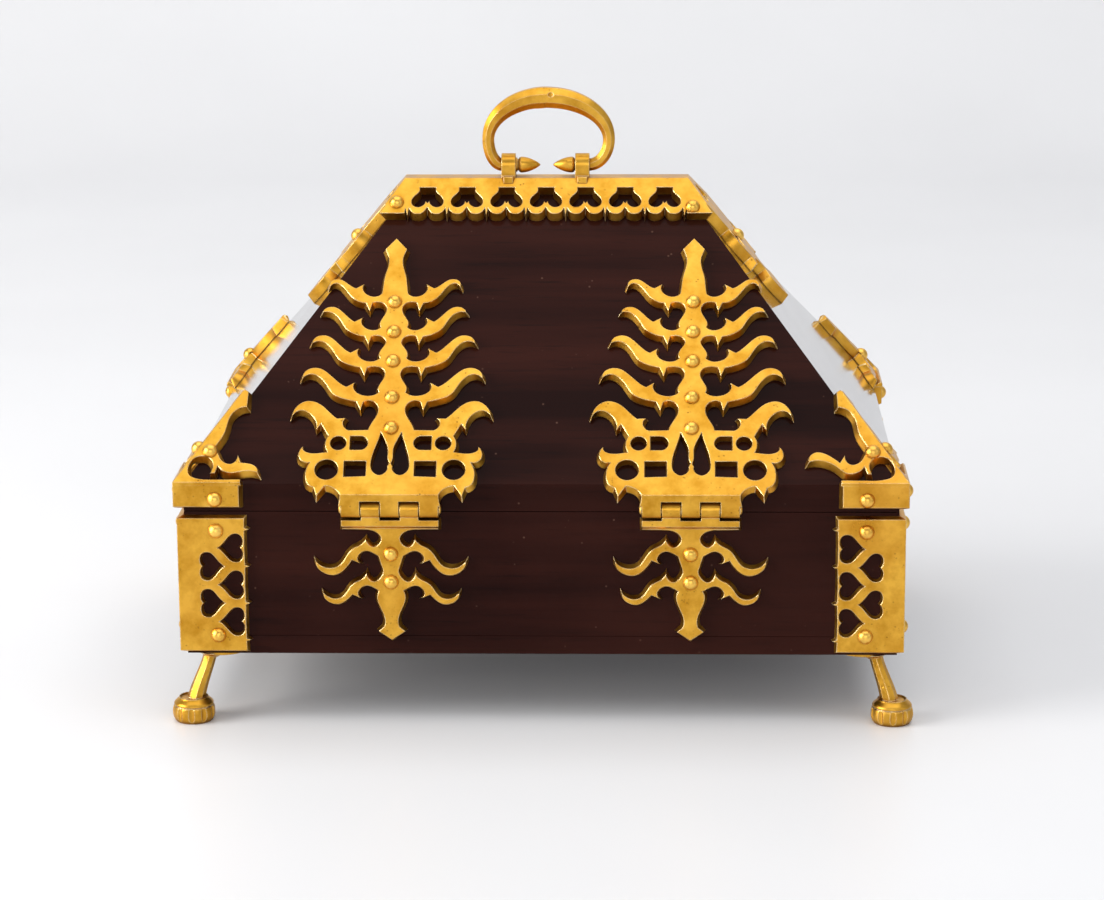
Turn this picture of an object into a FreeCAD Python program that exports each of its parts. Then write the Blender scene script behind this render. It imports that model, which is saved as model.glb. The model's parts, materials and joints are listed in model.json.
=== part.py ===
import FreeCAD, Part

import math
import os

# Brass-bound wooden casket: a shallow box on four splayed paw feet, a hipped lid
# with a brass cap, a bail handle, two pierced tree hinges at the back, and a
# strap, hasp and mortise lock at the front.
# Millimetres. +Z is up, +X is to the right when the hinge side is in front of the
# viewer, and the hinge side faces -Y. The origin is on the ground, at the centre.

# ---- driving dimensions ----------------------------------------------------------
WOOD_W = 300.0          # box width along X, wood only
WOOD_D = 216.0          # box depth along Y, wood only
FOOT_H = 30.0           # ground to the underside of the wood
BASE_H = 62.0           # wood height of the lower box
RIM_H = 12.0            # upright rim of the lid
SLOPE_H = 107.9         # rise of the sloping lid panels
TOP_W = 120.0           # narrow flat top of the lid along X
TOP_D = 6.0             # and along Y
SEAM = 0.3              # gap between lid and box
BOARD = 10.0            # thickness of the box sides and the lid rim
BOTTOM = 8.0            # thickness of the bottom board
PANEL = 8.0             # thickness of the sloping panels
RIDGE = 14.0            # height of the beam under the flat top
EASED = 0.4             # eased upper edge of the bottom board

BRASS = 2.8             # thickness of the base corner plates
BRACKET_T = 4.0         # thickness of the lid corner brackets
CAP_T = 4.8             # thickness of the cap
LEAF = 3.6              # thickness of the hinge leaves
LOCK_T = 2.6            # thickness of the lock plate and the hasp
LAND = 0.4              # upright foot of a casting's leaning walls
HINGE_X = 62.9          # hinge centres from the middle of the box
DRIFT = 0.015           # the back straps lean apart by this much of their height
BARREL_R = 3.75         # outer radius of a knuckle
PIN_R = 1.6             # hinge pin
PIN_FIT = 0.06          # running clearance on the pins
KNUCKLES = 5
KNUCKLE_BAND = 40.8     # width of a full row of knuckles
KNUCKLE_GAP = 0.4

RIVET_R = 3.25          # domed rivet head
RIVET_H = 2.7
SHANK_R = 1.4
SHANK_IN_WOOD = 5.0
SHANK_FIT = 0.03

BAIL_AXIS_H = 5.1       # bail axis above the cap
BAIL_RISE = 29.8        # centre line of the bail, axis to top
BAIL_TURN = 11.3        # the bail is widest this far above its axis
BAIL_REACH = {-1: 25.6, 1: 27.4}     # centre line of the bail, reach to its left and right
BAIL_END_R = 3.1        # round end that turns in the staples
STAPLE_X = {-1: 16.7, 1: 15.7}       # staple centres, left and right
BAIL_AXLE_START = 12.9   # the straight axle starts this far from the middle of the lid
BAIL_AXLE_END = 2.8      # and ends this far outside the staple's middle
STAPLE_W = 6.2
STAPLE_T = 1.9

# ---- levels and slopes worked out from them ---------------------------------------
Z_WOOD = FOOT_H
Z_SIDES = FOOT_H + BOTTOM
Z_SEAM = FOOT_H + BASE_H
Z_RIM = Z_SEAM + SEAM
Z_CREASE = Z_SEAM + RIM_H
Z_TOP = Z_CREASE + SLOPE_H
Z_CAP = Z_TOP + CAP_T
LEAF_Z = Z_SEAM + SEAM / 2                 # the lower leaf is drawn from the middle of the seam
BARREL_Y = WOOD_D / 2 + 0.15 + BARREL_R
BARREL_Z = Z_SEAM + 2.2
BARREL_OUT = BARREL_Y + BARREL_R

RUN_Y = (WOOD_D - TOP_D) / 2
RUN_X = (WOOD_W - TOP_W) / 2
LEN_BACK = math.hypot(RUN_Y, SLOPE_H)      # slant length of the front and back panels
LEN_SIDE = math.hypot(RUN_X, SLOPE_H)      # slant length of the end panels
BACK_UP = (0, RUN_Y / LEN_BACK, SLOPE_H / LEN_BACK)
SIDE_UP = (-RUN_X / LEN_SIDE, 0, SLOPE_H / LEN_SIDE)
BIG = 500.0

vec = FreeCAD.Vector


# ---- small tools --------------------------------------------------------------------
def box(low, high):
    """Box between two opposite corners."""
    size = [b - a for a, b in zip(low, high)]
    return Part.makeBox(*size, vec(*low))


def outline(start, runs):
    """Closed face. A run of one point is a straight edge, a longer run is a smooth curve."""
    edges = []
    here = vec(*start, 0)
    for run in runs:
        points = [here] + [vec(*p, 0) for p in run]
        if len(points) == 2:
            edges.append(Part.makeLine(*points))
        else:
            curve = Part.BSplineCurve()
            curve.interpolate(points)
            edges.append(curve.toShape())
        here = points[-1]
    if here.distanceToPoint(vec(*start, 0)) > 1e-6:
        edges.append(Part.makeLine(here, vec(*start, 0)))
    return Part.Face(Part.Wire(edges))


def symmetric_outline(start, runs, drift=0.0):
    """Closed face from its right half, drawn from one end to a point on the axis.

    The axis may drift sideways by a share of the height."""
    begins = [start] + [run[-1] for run in runs[:-1]]
    left = []
    for begin, run in zip(reversed(begins), reversed(runs)):
        left.append([(-u, v) for u, v in reversed(run[:-1])] + [(-begin[0], begin[1])])
    drifting = [[(u + drift * max(v, 0.0), v) for u, v in run] for run in runs + left]
    return outline(start, drifting)


def disc(u, v, radius):
    """Round face in the drawing plane."""
    return Part.Face(Part.Wire(Part.makeCircle(radius, vec(u, v, 0))))


def heart(tip, length, height, turn=1):
    """Heart-shaped face lying on its side; turn=1 puts the lobes to the right of the tip."""
    half = [(0.40, 0.31), (0.66, 0.48), (0.90, 0.45), (1.0, 0.22), (0.86, 0.0)]
    lower = [(tip[0] + turn * a * length, tip[1] - b * height) for a, b in half]
    upper = [(tip[0] + turn * a * length, tip[1] + b * height) for a, b in half]
    back = list(reversed(upper[:-1])) + [tip]
    return outline(tip, [lower, back])


def stand(shape, origin, across, up):
    """Move a shape drawn in XY so that X runs along 'across' and Y along 'up' from origin."""
    e1, e2 = vec(*across), vec(*up)
    e3 = e1.cross(e2)
    o = vec(*origin)
    matrix = FreeCAD.Matrix(e1.x, e2.x, e3.x, o.x, e1.y, e2.y, e3.y, o.y,
                            e1.z, e2.z, e3.z, o.z, 0, 0, 0, 1)
    moved = shape.copy()
    moved.transformShape(matrix)
    return moved


def on_back_slope(shape):
    """Drawing origin at the crease; up the back panel, proud of the wood."""
    return stand(shape, (0, -WOOD_D / 2, Z_CREASE), (1, 0, 0), BACK_UP)


def on_right_slope(shape):
    """Drawing origin at the crease; up the right-hand end panel."""
    return stand(shape, (WOOD_W / 2, 0, Z_CREASE), (0, 1, 0), SIDE_UP)


def on_back_face(shape, z=0.0):
    """Drawing origin at height z on the upright back face."""
    return stand(shape, (0, -WOOD_D / 2, z), (1, 0, 0), (0, 0, 1))


def on_right_face(shape, z=0.0):
    """Drawing origin at height z on the upright right-hand face."""
    return stand(shape, (WOOD_W / 2, 0, z), (0, 1, 0), (0, 0, 1))


def half_turn(shape):
    """The same piece on the opposite side of the box."""
    turned = shape.copy()
    turned.rotate(vec(0, 0, 0), vec(0, 0, 1), 180)
    return turned


def flip_x(shape):
    """Mirror image across the middle of the width."""
    return shape.mirror(vec(0, 0, 0), vec(1, 0, 0))


def shifted(shape, x):
    """Copy moved along X."""
    moved = shape.copy()
    moved.translate(vec(x, 0, 0))
    return moved


def flip_y(shape):
    """Mirror image across the middle of the depth."""
    return shape.mirror(vec(0, 0, 0), vec(0, 1, 0))


# ---- castings with leaning walls ----------------------------------------------------------
def rim_edge(points, rise=0.0):
    """Edge through the points, raised: straight between two, smooth through more."""
    raised = [p + vec(0, 0, rise) for p in points]
    if len(raised) == 2:
        return Part.makeLine(*raised)
    curve = Part.BSplineCurve()
    curve.interpolate(raised)
    return curve.toShape()


def rim_stations(face):
    """Rim of a flat face: for each edge in turn, the points it runs through and its headings."""
    rim = []
    for edge in face.OuterWire.OrderedEdges:
        if isinstance(edge.Curve, Part.BSplineCurve):
            stops = edge.Curve.getKnots()
        else:
            stops = [edge.FirstParameter, edge.LastParameter]
        sense = 1
        if edge.Orientation == "Reversed":
            stops = stops[::-1]
            sense = -1
        rim.append(([edge.valueAt(t) for t in stops], [edge.tangentAt(t) * sense for t in stops]))
    return rim


def room(point, aim, marks):
    """Radius of the largest disc that touches the point, lies towards 'aim' and holds no mark."""
    widest = BIG
    for mark in marks:
        way = mark - point
        ahead = way * aim
        if ahead > 1e-4 and way.Length > 0.01:
            widest = min(widest, way * way / (2 * ahead))
    return widest


def inset_rim(rim, inset):
    """Points of the rim moved inwards, less where it is narrow; a negative inset moves outwards."""
    area = sum(a.x * b.y - a.y * b.x for points, _ in rim for a, b in zip(points, points[1:]))
    turn = math.copysign(1, area * inset)
    marks = []
    for points, _ in rim:
        edge = rim_edge(points)
        marks.append(edge.discretize(max(3, int(edge.Length / 0.5))))
    moved = [list(points) for points, _ in rim]
    for k, (points, headings) in enumerate(rim):
        every = [mark for part in marks for mark in part]
        for i in range(1, len(points) - 1):
            aim = vec(-headings[i].y, headings[i].x, 0) * turn
            moved[k][i] = points[i] + aim * min(abs(inset), 0.5 * room(points[i], aim, every))
        after = (k + 1) % len(rim)
        corner, follows = points[-1], rim[after][0][1]
        before_it, past_it = (corner - points[-2]).normalize(), (follows - corner).normalize()
        aim = vec(-before_it.y - past_it.y, before_it.x + past_it.x, 0) * turn
        aim.normalize()
        square = abs(aim.x * past_it.y - aim.y * past_it.x)
        others = [mark for j, part in enumerate(marks) if j not in (k, after) for mark in part]
        step = min(abs(inset) / max(0.62, square), 0.5 * room(corner, aim, others))
        along = aim * past_it
        if along > 0.05:
            spacing = min(corner.distanceToPoint(points[-2]), corner.distanceToPoint(follows))
            step = min(step, 0.6 * spacing / along)
        moved[k][-1] = corner + aim * step
        moved[after][0] = moved[k][-1]
    return moved


def leaned(face, height, inset, below=0.5):
    """Casting on a drawn outline: upright up to the land, then walls that lean in by the inset."""
    rim = rim_stations(face)
    moved = inset_rim(rim, inset)
    walls = []
    for (points, _), top in zip(rim, moved):
        walls.append(rim_edge(points, -below).extrude(vec(0, 0, below + LAND)))
        walls.append(Part.makeRuledSurface(rim_edge(points, LAND), rim_edge(top, height)))
    floor = Part.Face(Part.Wire([rim_edge(points, -below) for points, _ in rim]))
    roof = Part.Face(Part.Wire([rim_edge(top, height) for top in moved]))
    shell = Part.makeShell(walls + [floor, roof])
    shell.sewShape()
    return Part.makeSolid(shell)


def grown(face, spread):
    """The face with its outline moved outwards."""
    moved = inset_rim(rim_stations(face), -spread)
    return Part.Face(Part.Wire([rim_edge(points) for points in moved]))


def opening(hole, height, lean):
    """Cutter for one piercing of a casting, widening upwards and reaching past both its faces."""
    below, over = 1.5, 0.6
    widen = lean * (height + over - LAND) / (height - LAND)
    if len(hole.Edges) > 1:
        return leaned(hole, height + over, -widen, below)
    radius, middle = hole.Edges[0].Curve.Radius, hole.Edges[0].Curve.Center
    low = Part.makeCylinder(radius, below + LAND, middle - vec(0, 0, below))
    return low.fuse(Part.makeCone(radius, radius + widen, height + over - LAND, middle + vec(0, 0, LAND)))


def casting(face, height, lean, holes=(), hole_lean=0.5, below=0.5):
    """Leaned plate with leaned piercings, reaching 'below' under the drawing plane."""
    solid = leaned(face, height, lean, below)
    return solid.cut([opening(hole, height, hole_lean) for hole in holes]) if holes else solid


def frustum(low, high):
    """Solid between two rings of four points, corner to corner."""
    faces = [Part.Face(Part.makePolygon(ring + ring[:1])) for ring in (low, high)]
    for i in range(4):
        j = (i + 1) % 4
        faces.append(Part.Face(Part.makePolygon([low[i], low[j], high[j], high[i], low[i]])))
    return Part.makeSolid(Part.makeShell(faces))


def hipped(inset_w, inset_d, z_low, z_high):
    """Hipped block between two heights, its sides following the lid's slopes with an inset."""
    rings = []
    for z in (z_low, z_high):
        up = (z - Z_CREASE) / SLOPE_H
        w = WOOD_W / 2 - RUN_X * up - inset_w
        d = WOOD_D / 2 - RUN_Y * up - inset_d
        rings.append([vec(-w, -d, z), vec(w, -d, z), vec(w, d, z), vec(-w, d, z)])
    return frustum(*rings)


def hip_inset(thickness):
    """Horizontal insets along X and Y of a skin of this thickness under the slopes."""
    return thickness * LEN_SIDE / SLOPE_H, thickness * LEN_BACK / SLOPE_H


# ---- rivets ---------------------------------------------------------------------------
def rivet(u, v, sheet, depth):
    """Domed rivet standing on a sheet, its shank through the sheet and depth into the wood."""
    dome_r = (RIVET_R ** 2 + RIVET_H ** 2) / (2 * RIVET_H)
    ball = Part.makeSphere(dome_r, vec(u, v, sheet + RIVET_H - dome_r))
    head = ball.common(box((u - 9, v - 9, sheet), (u + 9, v + 9, sheet + 9)))
    shank = Part.makeCylinder(SHANK_R, depth + sheet, vec(u, v, -depth))
    return head.fuse(shank).removeSplitter()


def rivet_hole(u, v, sheet, depth):
    """Clearance for a rivet's shank."""
    return Part.makeCylinder(SHANK_R + SHANK_FIT, depth + sheet + 0.2, vec(u, v, -depth - 0.1))


# ---- tree hinge outlines -----------------------------------------------------------------
STRAP_TIERS = (
    # level of the arm, thorn, tip, rise of the tip, rise of the crest
    (41.4, 16.2, 38.6, 8.3, 13.9),
    (58.5, 15.0, 35.2, 8.8, 13.2),
    (74.2, 13.7, 31.2, 8.9, 12.0),
    (91.3, 13.6, 28.4, 4.8, 9.1),
)
STRAP_RIVETS = [(0, 25.3), (0, 40.5), (0, 58.6), (0, 73.4), (0, 88.6)]
STRAP_SPREAD = 0.8       # the foot of the walls lies outside the drawn outline by this much
STRAP_LEAN = 1.1
STRAP_HOLE_LEAN = 0.45
LEAF_RIVETS = [(0, -17.6), (0, -29.8)]


def flame_arm(level, thorn, tip, tip_rise, crest_rise):
    """One S-curved arm of the strap, from its spur under the arm round to the stem above."""
    reach = tip - thorn
    return [
        [(thorn - 3.7, level - 5.0), (thorn - 2.9, level - 7.4)],
        [(thorn - 2.2, level - 5.0), (thorn - 1.0, level - 3.4)],
        [(thorn + 2.6, level - 2.5), (thorn + 0.40 * reach, level + 0.4),
         (thorn + 0.57 * reach, level + 0.44 * crest_rise),
         (thorn + 0.80 * reach, level + 0.74 * crest_rise), (tip, level + tip_rise)],
        [(thorn + 0.91 * reach, level + 0.92 * crest_rise), (thorn + 0.72 * reach, level + crest_rise),
         (thorn + 0.48 * reach, level + 0.78 * crest_rise), (thorn + 3.2, level + 4.5)],
        [(thorn + 1.6, level + 4.6), (thorn - 0.2, level + 6.3)],
        [(thorn + 0.1, level + 3.8), (thorn - 1.2, level + 1.6), (thorn - 3.6, level + 0.3),
         (8.2, level + 0.2), (5.9, level + 1.6)],
    ]


def strap_runs():
    """Right half of the upper strap, from the knuckle band up to the spear tip."""
    runs = [
        [(20.4, -9.2)],
        [(21.4, -6.3), (23.8, -4.1), (27.0, -3.1)],
        [(28.7, -5.2), (30.4, -8.0)],
        [(30.8, -5.5), (31.9, -3.8)],
        [(34.4, -2.4), (35.7, 1.4), (35.3, 5.5), (33.9, 8.4)],
        [(36.2, 8.3), (38.3, 10.0), (38.8, 12.8), (36.9, 16.5)],
        [(36.4, 14.4), (34.8, 13.4), (31.4, 13.0), (26.8, 13.6)],
        [(27.7, 15.9), (27.7, 18.8), (26.6, 21.3)],
        [(28.2, 24.2), (29.8, 26.4)],
        [(31.4, 24.8)],
        [(32.0, 27.7), (34.2, 31.5), (37.6, 33.6), (42.2, 30.9)],
        [(40.4, 36.0), (36.2, 38.7), (30.8, 37.5), (26.6, 33.7), (22.9, 30.1)],
        [(21.4, 30.2), (19.3, 30.0)],
        [(20.3, 27.9), (19.8, 25.9), (17.8, 24.3)],
        [(9.8, 24.5)],
        [(8.0, 28.8), (6.2, 32.5), (6.2, 36.0), (8.4, 38.3), (12.0, 37.9)],
    ]
    for index, tier in enumerate(STRAP_TIERS):
        runs += flame_arm(*tier)
        if index + 1 < len(STRAP_TIERS):
            level, above, thorn = tier[0], STRAP_TIERS[index + 1][0], STRAP_TIERS[index + 1][1]
            runs.append([(6.3, level + 3.9), (5.2, level + 6.4), (3.6, above - 6.0),
                         (4.6, above - 4.0), (6.9, above - 3.0), (thorn - 4.2, above - 3.4)])
    runs += [
        [(5.4, 96.9), (4.9, 101.4), (3.5, 107.2), (3.5, 111.8)],
        [(4.9, 115.9)],
        [(2.5, 118.3), (0.0, 121.8)],
    ]
    return runs


def strap_holes():
    """Piercings in the right half of the basket at the foot of the strap."""
    teardrop = outline((4.4, 22.7), [
        [(6.0, 15.9), (7.6, 9.0), (7.0, 4.5), (4.4, 2.7), (1.8, 4.3), (1.5, 6.6)],
        [(0.7, 8.2)],
        [(1.5, 10.7), (1.5, 14.4), (2.8, 18.8), (4.4, 22.7)],
    ])
    dee = outline((16.8, 14.9), [
        [(16.8, 20.9)],
        [(12.8, 20.9)],
        [(10.8, 19.9), (10.0, 17.9), (10.8, 15.8), (12.8, 14.9)],
    ])
    window = outline((10.5, 2.1), [[(19.0, 1.8)], [(19.0, 8.7)], [(10.5, 8.7)]])
    return [teardrop, dee, window, disc(22.1, 17.8, 3.0), disc(26.7, 4.9, 4.5)]


def drooping_arm(level, reach, fall):
    """One arm of the lower leaf, from the neck above its thorn round to the stem below it."""
    outer = reach - 15.0
    return [
        [(4.3, level + 3.9), (5.0, level + 1.2), (7.5, level - 0.1),
         (9.3, level + 1.2), (10.2, level + 3.9)],
        [(11.4, level + 1.8), (13.0, level + 0.6), (15.6, level - 0.7),
         (15.0 + 0.23 * outer, level - 0.33 * fall), (15.0 + 0.40 * outer, level - 0.63 * fall),
         (15.0 + 0.64 * outer, level - 0.73 * fall), (15.0 + 0.85 * outer, level - 0.67 * fall),
         (reach, level - 0.48 * fall)],
        [(15.0 + 0.92 * outer, level - 0.78 * fall), (15.0 + 0.72 * outer, level - 0.97 * fall),
         (15.0 + 0.52 * outer, level - fall), (15.0 + 0.28 * outer, level - 0.83 * fall),
         (16.3, level - 6.2)],
        [(14.8, level - 7.7), (12.5, level - 7.6)],
        [(13.8, level - 5.4), (12.4, level - 3.1), (10.0, level - 2.3), (7.4, level - 3.2),
         (5.4, level - 4.4)],
    ]


def lower_leaf_runs():
    """Right half of the lower leaf, from the middle of the seam down to the spear tip."""
    runs = [[(20.4, -7.0)], [(9.8, -7.2)], [(7.6, -7.6), (5.6, -8.6), (4.3, -10.3)]]
    upper = drooping_arm(-14.2, 31.8, 12.8)
    upper[0] = upper[0][1:]
    runs += upper
    runs.append([(5.0, -21.4), (3.5, -24.6)])
    lower = drooping_arm(-29.3, 28.8, 10.4)
    lower[0] = lower[0][1:]
    runs += lower
    runs += [[(6.2, -36.9), (5.1, -40.6), (3.4, -44.6), (3.5, -49.4)], [(5.4, -51.3)],
             [(2.5, -52.7), (0.0, -55.4)]]
    return runs


def knuckle_spans(wanted):
    """X spans of the wanted knuckles, counted from 0."""
    pitch = KNUCKLE_BAND / KNUCKLES
    spans = []
    for i in wanted:
        low = -KNUCKLE_BAND / 2 + i * pitch
        spans.append((low + (KNUCKLE_GAP / 2 if i else 0),
                      low + pitch - (KNUCKLE_GAP / 2 if i < KNUCKLES - 1 else 0)))
    return spans


UPPER_KNUCKLES = (0, 2, 4)
LOWER_KNUCKLES = (1, 3)


def barrel(low, high, radius):
    """Round bar along X on the hinge axis."""
    return Part.makeCylinder(radius, high - low, vec(low, -BARREL_Y, BARREL_Z), vec(1, 0, 0))


def profile_bar(points, low, high):
    """Bar along X with a (y, z) section."""
    ring = [vec(low, y, z) for y, z in points]
    return Part.Face(Part.makePolygon(ring + ring[:1])).extrude(vec(high - low, 0, 0))


def upper_leaf(drift=0.0):
    """Pierced tree strap on the back panel, bent down and rolled into three knuckles."""
    face = grown(symmetric_outline((20.4, -15.0), strap_runs(), drift), STRAP_SPREAD)
    strap = casting(face, LEAF, STRAP_LEAN, below=0.0)
    cutters = [opening(hole, LEAF, STRAP_HOLE_LEAN) for hole in strap_holes()]
    cutters += [flip_x(cutter) for cutter in cutters]
    strap = strap.cut([shifted(cutter, drift * cutter.BoundBox.Center.y) for cutter in cutters])
    strap = on_back_slope(strap).common(box((-BIG, -BARREL_OUT, 0), (BIG, BIG, BIG)))
    steep = SLOPE_H / RUN_Y
    bend_z = Z_CREASE + LEAF * LEN_BACK / RUN_Y - steep * (BARREL_OUT - WOOD_D / 2)
    inner = -BARREL_OUT + LEAF
    band = profile_bar([(-BARREL_OUT, BARREL_Z), (inner, BARREL_Z), (inner, bend_z + 0.5),
                        (-BARREL_OUT, bend_z)], -KNUCKLE_BAND / 2, KNUCKLE_BAND / 2)
    leaf = strap.fuse(band)
    slot_top = BARREL_Z + BARREL_R + 0.3
    for low, high in knuckle_spans(LOWER_KNUCKLES):
        slot = box((low - KNUCKLE_GAP, -BARREL_OUT - 1, 0), (high + KNUCKLE_GAP, -BARREL_OUT + 6, slot_top))
        leaf = leaf.cut(slot)
    for low, high in knuckle_spans(UPPER_KNUCKLES):
        leaf = leaf.fuse(barrel(low, high, BARREL_R))
    return leaf.cut(barrel(-BIG, BIG, PIN_R + PIN_FIT)).removeSplitter()


BAND_TOP = BARREL_Z - BARREL_R - 0.75     # the band stops short of the turning knuckles
BAND_FRONT = 2.6                          # height of its upright front
BAND_OUT = -WOOD_D / 2 - 5.8


def lower_leaf():
    """Lower leaf on the back face, thickened into a band and rolled into two knuckles."""
    face = grown(symmetric_outline((20.4, BAND_TOP - LEAF_Z), lower_leaf_runs()), STRAP_SPREAD)
    leaf = on_back_face(casting(face, LEAF, STRAP_LEAN, below=0.0), LEAF_Z)
    leaf = leaf.common(box((-BIG, -BIG, 0), (BIG, BIG, BAND_TOP)))
    wood = -WOOD_D / 2
    foot_z = LEAF_Z - 7.0
    section = [(wood, foot_z), (wood - LAND, foot_z), (wood - LEAF, foot_z + 0.6),
               (BAND_OUT, BAND_TOP - BAND_FRONT), (BAND_OUT, BAND_TOP), (wood, BAND_TOP)]
    leaf = leaf.fuse(profile_bar(section, -KNUCKLE_BAND / 2, KNUCKLE_BAND / 2))
    for low, high in knuckle_spans(LOWER_KNUCKLES):
        riser = box((low, BAND_OUT, BAND_TOP - 0.5), (high, wood - 0.3, BARREL_Z))
        inside = Part.makeCylinder(BARREL_R + 1.2, high - low, vec(low, -BARREL_Y, BARREL_Z), vec(1, 0, 0))
        leaf = leaf.fuse([riser.common(inside), barrel(low, high, BARREL_R)])
    return leaf.cut(barrel(-BIG, BIG, PIN_R + PIN_FIT)).removeSplitter()


def hinge_pin():
    """Pin through the knuckles, with a low riveted head at each end."""
    half = KNUCKLE_BAND / 2
    pin = barrel(-half - 0.2, half + 0.2, PIN_R)
    for side in (-1, 1):
        seat = vec(side * (half + 0.15), -BARREL_Y, BARREL_Z)
        pin = pin.fuse(Part.makeCone(PIN_R + 0.9, PIN_R, 0.9, seat, vec(side, 0, 0)))
    return pin.removeSplitter()


# ---- corner mounts ------------------------------------------------------------------------
PLATE_Z = (Z_WOOD + 0.9, Z_SEAM - 1.4)
SCALLOP_PITCH = 16.1
PLATE_MID = (PLATE_Z[0] + PLATE_Z[1]) / 2
PLATE_REACH = 27.0       # scalloped edge from the wood's corner
PLATE_RIVETS = [(13.6, PLATE_Z[1] - 6.4), (13.6, PLATE_Z[0] + 7.8)]
PLATE_LEAN = 1.0
PLATE_HOLE_LEAN = 0.8


def corner_plate_face():
    """Scalloped plate beside a right-hand corner: u runs inwards from the corner, v is height."""
    low, high = PLATE_Z
    runs = [[(PLATE_REACH - 0.4, low)]]
    for k in range(4):
        spur = PLATE_MID + (k - 1.5) * SCALLOP_PITCH
        if k == 0:
            runs.append([(PLATE_REACH + 0.9, low + 2.6), (PLATE_REACH - 0.6, spur - 1.0)])
        runs.append([(PLATE_REACH + 0.9, spur)])
        runs.append([(PLATE_REACH - 0.6, spur + 1.0)])
        if k < 3:
            middle = spur + SCALLOP_PITCH / 2
            runs.append([(PLATE_REACH + 0.8, spur + 4.4), (PLATE_REACH - 0.7, middle)])
            runs.append([(PLATE_REACH + 0.8, middle + 3.7), (PLATE_REACH - 0.6, spur + SCALLOP_PITCH - 1.0)])
    runs += [[(PLATE_REACH + 0.9, high - 2.4), (PLATE_REACH - 0.4, high)], [(-BRASS - 3.0, high)]]
    return outline((-BRASS - 3.0, low), runs)


def corner_plate_holes():
    """Five hearts down the middle of the plate, pointing in turn away from and to its edge."""
    hearts = [heart((14.9, PLATE_MID + k * SCALLOP_PITCH), 9.2, 11.2) for k in (-1, 0, 1)]
    return hearts + [heart((16.0, PLATE_MID + k * SCALLOP_PITCH), 8.8, 11.2, -1) for k in (-0.5, 0.5)]


def base_corner_plate():
    """Pierced and scalloped plate wrapped round the back right corner of the box."""
    half_w, half_d = WOOD_W / 2, WOOD_D / 2
    flat = casting(corner_plate_face(), BRASS, PLATE_LEAN, corner_plate_holes(), PLATE_HOLE_LEAN)
    ring = [vec(half_w - 60, -half_d + 60, 0), vec(half_w + 60, -half_d - 60, 0),
            vec(0, -half_d - 60, 0), vec(0, -half_d + 60, 0)]
    mitre = Part.Face(Part.makePolygon(ring + ring[:1])).extrude(vec(0, 0, BIG))
    back = on_back_face(shifted(flip_x(flat), half_w)).common(mitre)
    side = on_right_face(shifted(flat, -half_d)).cut(mitre)
    wood = box((-half_w, -half_d, 0), (half_w, half_d, BIG))
    return back.fuse(side).cut(wood).removeSplitter()


BRACKET_RIVET = (11.0, 13.6)
HIP_SHANK = 1.2          # short, where the hip leaves little wood behind
BRACKET_LOW = Z_SEAM + 1.5
BRACKET_BAND = 25.2      # the band on the rim, from the wood's corner
BRACKET_END = 26.6       # where the blade stops, across the slope
BRACKET_LEAN = 1.5
RIM_RIVET = (13.6, (BRACKET_LOW + Z_CREASE) / 2 - 0.6)


def bracket_face(wide, tall, reach, lift):
    """Blade up the hip with a tendril over the rim; wide and tall fit it to a slope."""
    runs = [
        [(25.2, 0.5)],
        [(12.2, 0.5)],
        [(7.6, 0.9), (3.9, 3.1), (3.4, 6.6), (5.6, 9.6), (9.0, 9.6), (11.2, 7.2), (11.6, 4.4), (11.2, 2.4)],
        [(12.6, 1.5), (14.0, 2.2)],
        [(14.2, 4.0), (14.9, 5.2)],
        [(16.6, 2.6), (19.0, 1.7), (22.8, 1.9), (26.4, 2.6 + 0.4 * lift), (29.4, 2.7 + 0.7 * lift),
         (reach, 1.4 + lift)],
        [(reach - 0.8, 5.2 + lift), (reach - 3.0, 8.2 + lift), (28.0, 8.9 + 0.6 * lift), (25.0, 9.3)],
        [(24.6, 11.0), (22.5, 13.0)],
        [(22.1, 10.4), (20.2, 8.9), (18.0, 9.0), (16.4, 11.2), (15.4, 13.6), (14.4, 15.4)],
        [(16.4, 18.8), (18.0, 22.5), (18.7, 26.0), (19.4, 29.6), (21.8, 32.9), (BRACKET_END, 34.4)],
        [(BRACKET_END, 43.5)],
        [(BRACKET_END - 3.4, 45.6)],
        [(-6.0, -1.5)],
        [(-6.0, -3.0)],
    ]
    scaled = [[(u * wide, v * tall) for u, v in run] for run in runs]
    return outline((25.2 * wide, -3.0), scaled)


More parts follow.
